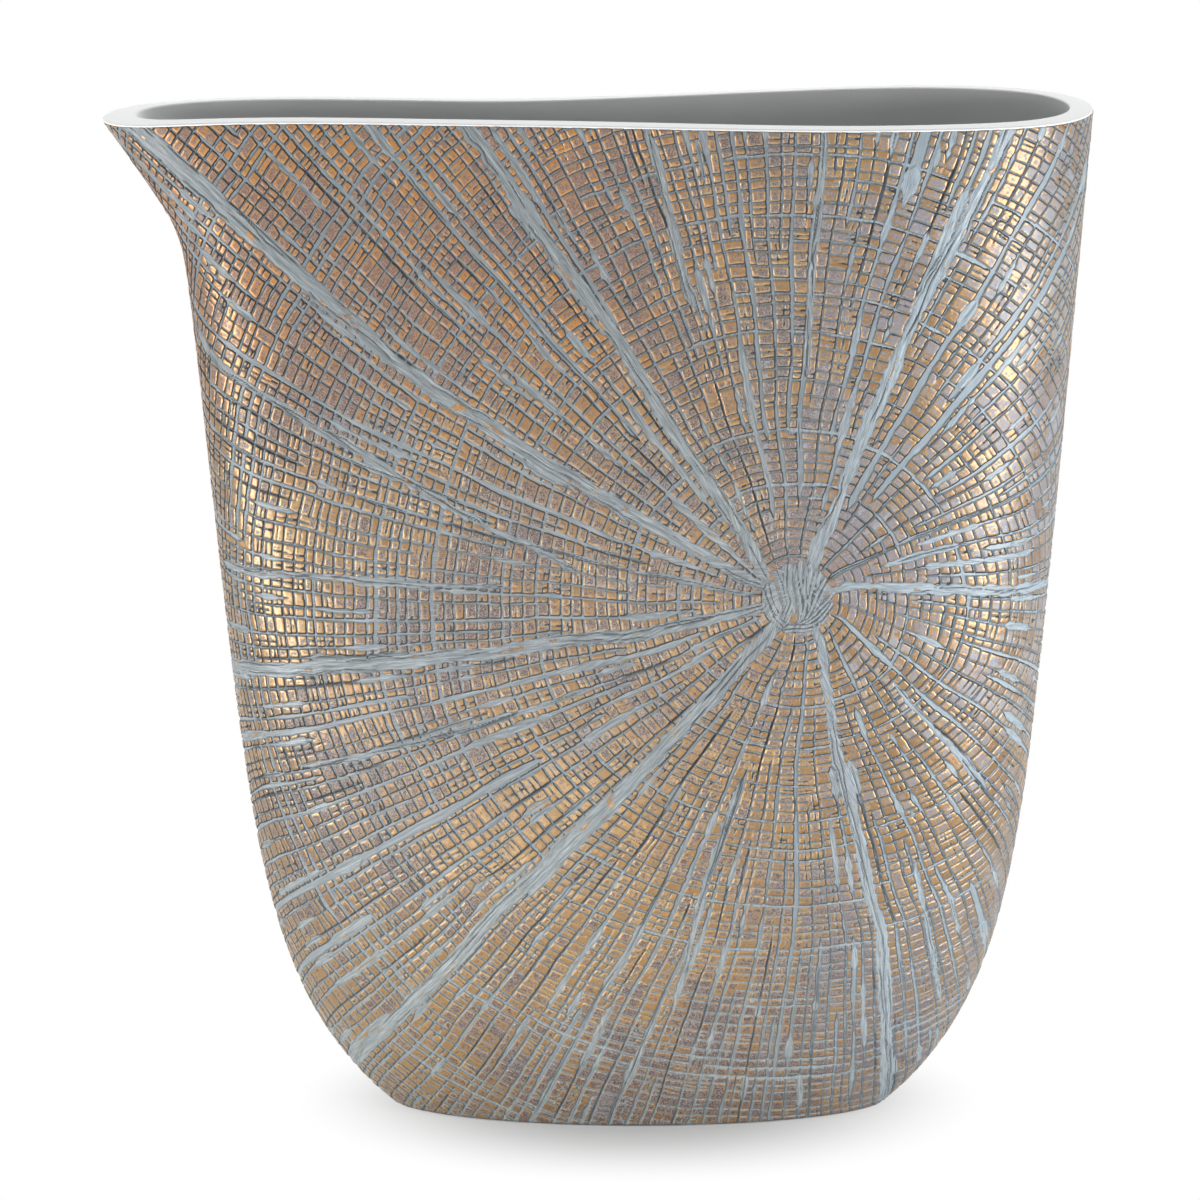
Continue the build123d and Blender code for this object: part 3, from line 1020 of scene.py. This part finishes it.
points, u, v, side_off = carved_surface()
columns = points.shape[1]
fields = carving(u.ravel(), v.ravel(), side_off.ravel())
height = relief(fields, u.ravel(), v.ravel()).reshape(u.shape)
height[0], height[-1] = edge_sink, edge_sink
points = points + grid_normals(points) * height[..., None]
shading = grid_normals(points).reshape(-1, 3)
points = points.reshape(-1, 3) * MM
fields["grain"] = np.stack([fields["reach"], fields["across"], fields["across"] * 0], axis=-1)
read_by_paint = ("cell", "ray", "crack", "tint", "shade", "upright", "wash", "grain")
carved = carved_finish()
for n in range(strips):
    per_strip = columns // strips
    pick = np.arange(n * per_strip, (n + 1) * per_strip + 1) % columns
    faces = grid_faces(rows + 1, len(pick))
    strip = add_mesh(
        f"carved_side_{n + 1}", strip_part(points, pick), faces, carved,
        uv=folded(faces, len(pick)), normals=strip_part(shading, pick),
        fields={name: strip_part(fields[name], pick) for name in read_by_paint})
    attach(strip, "root")
    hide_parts("vase_body")


# The smooth lining with its lip, and the underside

ring_columns = 720
ring_share = np.linspace(0, 2 * math.pi, ring_columns, endpoint=False)
outer_round, inner_round, floor_round, top_fall = 0.6, 0.6, 5.0, 0.3
tucked_below, tucked_in = 0.6, 0.9
lining_rows, middle_share = 90, 0.02
underside_insets = (0.15, 0.6, 1.5)


def below_rim(drop):
    """Heights that follow the rim, lowered by a distance."""
    return lambda x: rim_at(x) - drop


def level_at(height):
    """Heights that are level."""
    return lambda x: height + 0 * x


def down_inside(share):
    """Heights part of the way from the lip's inner rounding to the floor's."""
    low = pad_proud + floor_thickness + floor_round
    return lambda x: rim_at(x) - inner_round + (low - (rim_at(x) - inner_round)) * share


def ring(height_at, inset):
    """One closed loop of the vase at an inset, at heights that depend on the place along X."""
    along = -np.cos(ring_share)
    sign = np.where(ring_share < math.pi, -1, 1)
    level = pad_proud + (wall - pad_proud) * inset / wall
    # The places depend on the heights and the heights on the places, so they settle in turns
    z = np.full(ring_columns, float(rim_height))
    for _ in range(3):
        x, y = outline(z - level, along, inset)
        z = height_at(x)
    x, y = outline(z - level, along, inset)
    return np.stack([x, sign * y, z], axis=-1)


def even(loop):
    """A closed loop with its points moved to even spacing."""
    closed = np.concatenate([loop, loop[:1]])
    length = np.concatenate([[0], np.cumsum(np.linalg.norm(np.diff(closed, axis=0), axis=1))])
    at = np.linspace(0, length[-1], ring_columns, endpoint=False)
    return np.stack([np.interp(at, length, closed[:, c]) for c in range(3)], axis=-1)


def quarter_turn(count):
    """Angles from 0 to a right angle."""
    return np.linspace(0, math.pi / 2, count)


def lining():
    """Loops of the lining from under the lip, over it and down the inside to the floor.

    The first is tucked in behind the carving's upper edge, and the top falls off outwards."""
    loops = [ring(below_rim(top_fall + outer_round + tucked_below), tucked_in)]
    for turn in quarter_turn(9):
        drop = top_fall + outer_round * (1 - math.sin(turn))
        loops.append(ring(below_rim(drop), outer_round * (1 - math.cos(turn))))
    for share in np.linspace(0, 1, 6)[1:]:
        inset = outer_round + (wall - inner_round - outer_round) * share
        loops.append(ring(below_rim(top_fall * (1 - share)), inset))
    for turn in quarter_turn(7)[1:]:
        inset = wall - inner_round * (1 - math.sin(turn))
        loops.append(ring(below_rim(inner_round * (1 - math.cos(turn))), inset))
    for share in np.linspace(0, 1, lining_rows)[1:]:
        loops.append(ring(down_inside(share), wall))
    for turn in quarter_turn(8)[1:]:
        height = pad_proud + floor_thickness + floor_round * (1 - math.sin(turn))
        loops.append(ring(level_at(height), wall + floor_round * (1 - math.cos(turn))))
    return [even(loop) for loop in loops]


def underside():
    """Loops of the underside, from behind the carving's lower edge inwards, seen from below."""
    return [even(ring(level_at(pad_proud), inset))[::-1] for inset in underside_insets]


def drawn_in(loops, steps):
    """Loops with more of them drawn in from the last one, nearly to its middle."""
    last = loops[-1]
    middle = (last.min(0) + last.max(0)) / 2
    return loops + [middle + (last - middle) * s for s in np.linspace(1, middle_share, steps)[1:]]


def add_loops(name, loops, material):
    """A piece made of closed loops, the last one capped."""
    faces = grid_faces(len(loops), ring_columns, closed=True)
    cap = cap_faces((len(loops) - 1) * ring_columns, ring_columns)
    return add_mesh(name, np.concatenate(loops) * MM, np.concatenate([faces, cap]), material)


inside = add_loops("lining_and_lip", drawn_in(lining(), 12), smooth_grey_finish())
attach(inside, "root")
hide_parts("inner_lining")

base = add_loops("base_underside", drawn_in(underside(), 10), raw_base_finish())
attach(base, "root")
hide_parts("vase_body")


# The felt pads

pad_columns, pad_soft_edge, pad_unevenness, pad_middle = 72, 0.3, 0.06, 0.05
inner_share, edge_step = 0.6, 0.3


def pad_half(top):
    """Radii and heights of a pad from its middle to its edge, for its top or its underside."""
    radius = pad_diameter / 2
    inwards = -1 if top else 1
    face = pad_thickness if top else 0.0
    return [(pad_middle, face), (radius * inner_share, face), (radius - pad_soft_edge, face),
            (radius - pad_soft_edge * edge_step, face + inwards * pad_soft_edge * edge_step),
            (radius, face + inwards * pad_soft_edge)]


def pad(name, centre, material):
    """A round felt pad with a soft edge."""
    turn = np.linspace(0, 2 * math.pi, pad_columns, endpoint=False)
    uneven = noise(np.cos(turn) * 9 + 20, np.sin(turn) * 9 + 20, 61) * pad_unevenness
    loops = []
    for radius, z in pad_half(top=False) + pad_half(top=True)[::-1]:
        out = radius + uneven * (radius > 1)
        loops.append(np.stack(
            [centre[0] + out * np.cos(turn), centre[1] + out * np.sin(turn), 0 * turn + z], axis=-1))
    faces = grid_faces(len(loops), pad_columns, closed=True)
    under = cap_faces(0, pad_columns)[:, ::-1]
    over = cap_faces((len(loops) - 1) * pad_columns, pad_columns)
    return add_mesh(name, np.concatenate(loops) * MM, np.concatenate([faces, under, over]), material)


felt = felt_finish()
for end in ("spout", "round"):
    for face in ("front", "back"):
        node = f"foot_pad_{end}_{face}"
        low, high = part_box(node)
        centre = ((low.x + high.x) / 2 / MM, (low.y + high.y) / 2 / MM)
        soft_pad = pad(f"felt_{end}_{face}", centre, felt)
        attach(soft_pad, "root")
        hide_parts(node)


# Camera, floor and light

camera = bpy.data.objects.new("camera", bpy.data.cameras.new("camera"))
camera.location = camera_place
camera.rotation_euler = (math.pi / 2 - camera_pitch, 0, 0)
camera.data.sensor_width = sensor_mm
camera.data.lens = focal_pixels * sensor_mm / frame_pixels
camera.data.clip_start, camera.data.clip_end = nearest_seen, farthest_seen
bpy.context.scene.collection.objects.link(camera)
bpy.context.scene.camera = camera

bpy.context.scene.view_settings.view_transform = "Standard"

# The floor's oval around the foot that shows the shadow, from its darkest part outwards
floor_size, floor_colour, floor_shown = 16.0, (0.88, 0.88, 0.88, 1), (0.32, 0.32, 0.32, 1)
near_floor, far_floor, floor_oval = 0.026, 0.086, (0.75, 1.0, 1.0)
room_light = (0.268, 0.268, 0.27, 1)
white = (1, 1, 1, 1)


def floor_finish():
    """Pale floor that the camera sees as white, apart from the vase's soft shadow."""
    f = Finish(bpy.data.materials.new("pale_floor"))
    off = f.node("ShaderNodeVectorMath", {"operation": "SUBTRACT"}, {
        0: f.place(), 1: (base_offset * MM, 0.0, 0.0)})
    away = f.step(f.node("ShaderNodeVectorMath", {"operation": "LENGTH"}, {
        0: f.stretch(off, floor_oval)}, out="Value"), near_floor, far_floor)
    matt = f.node("ShaderNodeBsdfDiffuse", {}, {"Color": floor_colour, "Roughness": 1.0})
    shown = f.node("ShaderNodeBsdfDiffuse", {}, {"Color": floor_shown, "Roughness": 1.0})
    plain_white = f.node("ShaderNodeEmission", {}, {"Color": white, "Strength": 1.0})
    seen = f.node("ShaderNodeMixShader", {}, {0: away, 1: shown, 2: plain_white})
    return f.close(f.node("ShaderNodeMixShader", {}, {0: f.seen_ray(), 1: matt, 2: seen}))


corners = np.array([(-1, -1, 0), (1, -1, 0), (1, 1, 0), (-1, 1, 0)]) * floor_size / 2
floor = add_mesh("floor", corners, [(0, 1, 2, 3)], floor_finish())


def softbox(name, place, aim, size, power):
    """A rectangular soft light aimed at a point."""
    lamp = bpy.data.objects.new(name, bpy.data.lights.new(name, "AREA"))
    lamp.data.shape, lamp.data.size, lamp.data.size_y = "RECTANGLE", size[0], size[1]
    lamp.data.energy = power
    lamp.location = place
    lamp.visible_camera = False
    lamp.rotation_euler = (Vector(aim) - Vector(place)).to_track_quat("-Z", "Y").to_euler()
    bpy.context.scene.collection.objects.link(lamp)


softbox("left_box", (-0.45, -0.26, 0.17), aim=(-0.12, 0, 0.14), size=(0.22, 0.36), power=2.65)
softbox("right_box", (0.42, -0.29, 0.18), aim=(0.12, 0, 0.15), size=(0.30, 0.38), power=3.6)
softbox("top_box", (-0.05, 0.12, 1.50), aim=(0, 0, 0.15), size=(0.9, 0.7), power=6.0)
softbox("low_box", (-0.22, -0.36, 0.05), aim=(-0.09, 0, 0.05), size=(0.40, 0.10), power=0.95)
softbox("back_box", (0.0, 0.95, 0.78), aim=(0, 0, 0.32), size=(1.50, 0.70), power=5.8)
softbox("front_fill", (0.0, -1.5, 0.25), aim=(0, 0, 0.16), size=(1.2, 0.5), power=0.4)

studio = Finish(bpy.data.worlds.new("studio"))
bpy.context.scene.world = studio.owner
room = studio.node("ShaderNodeBackground", {}, {"Color": room_light})
backdrop = studio.node("ShaderNodeBackground", {}, {"Color": white})
studio.close(studio.node("ShaderNodeMixShader", {}, {0: studio.seen_ray(), 1: room, 2: backdrop}),
             "ShaderNodeOutputWorld")
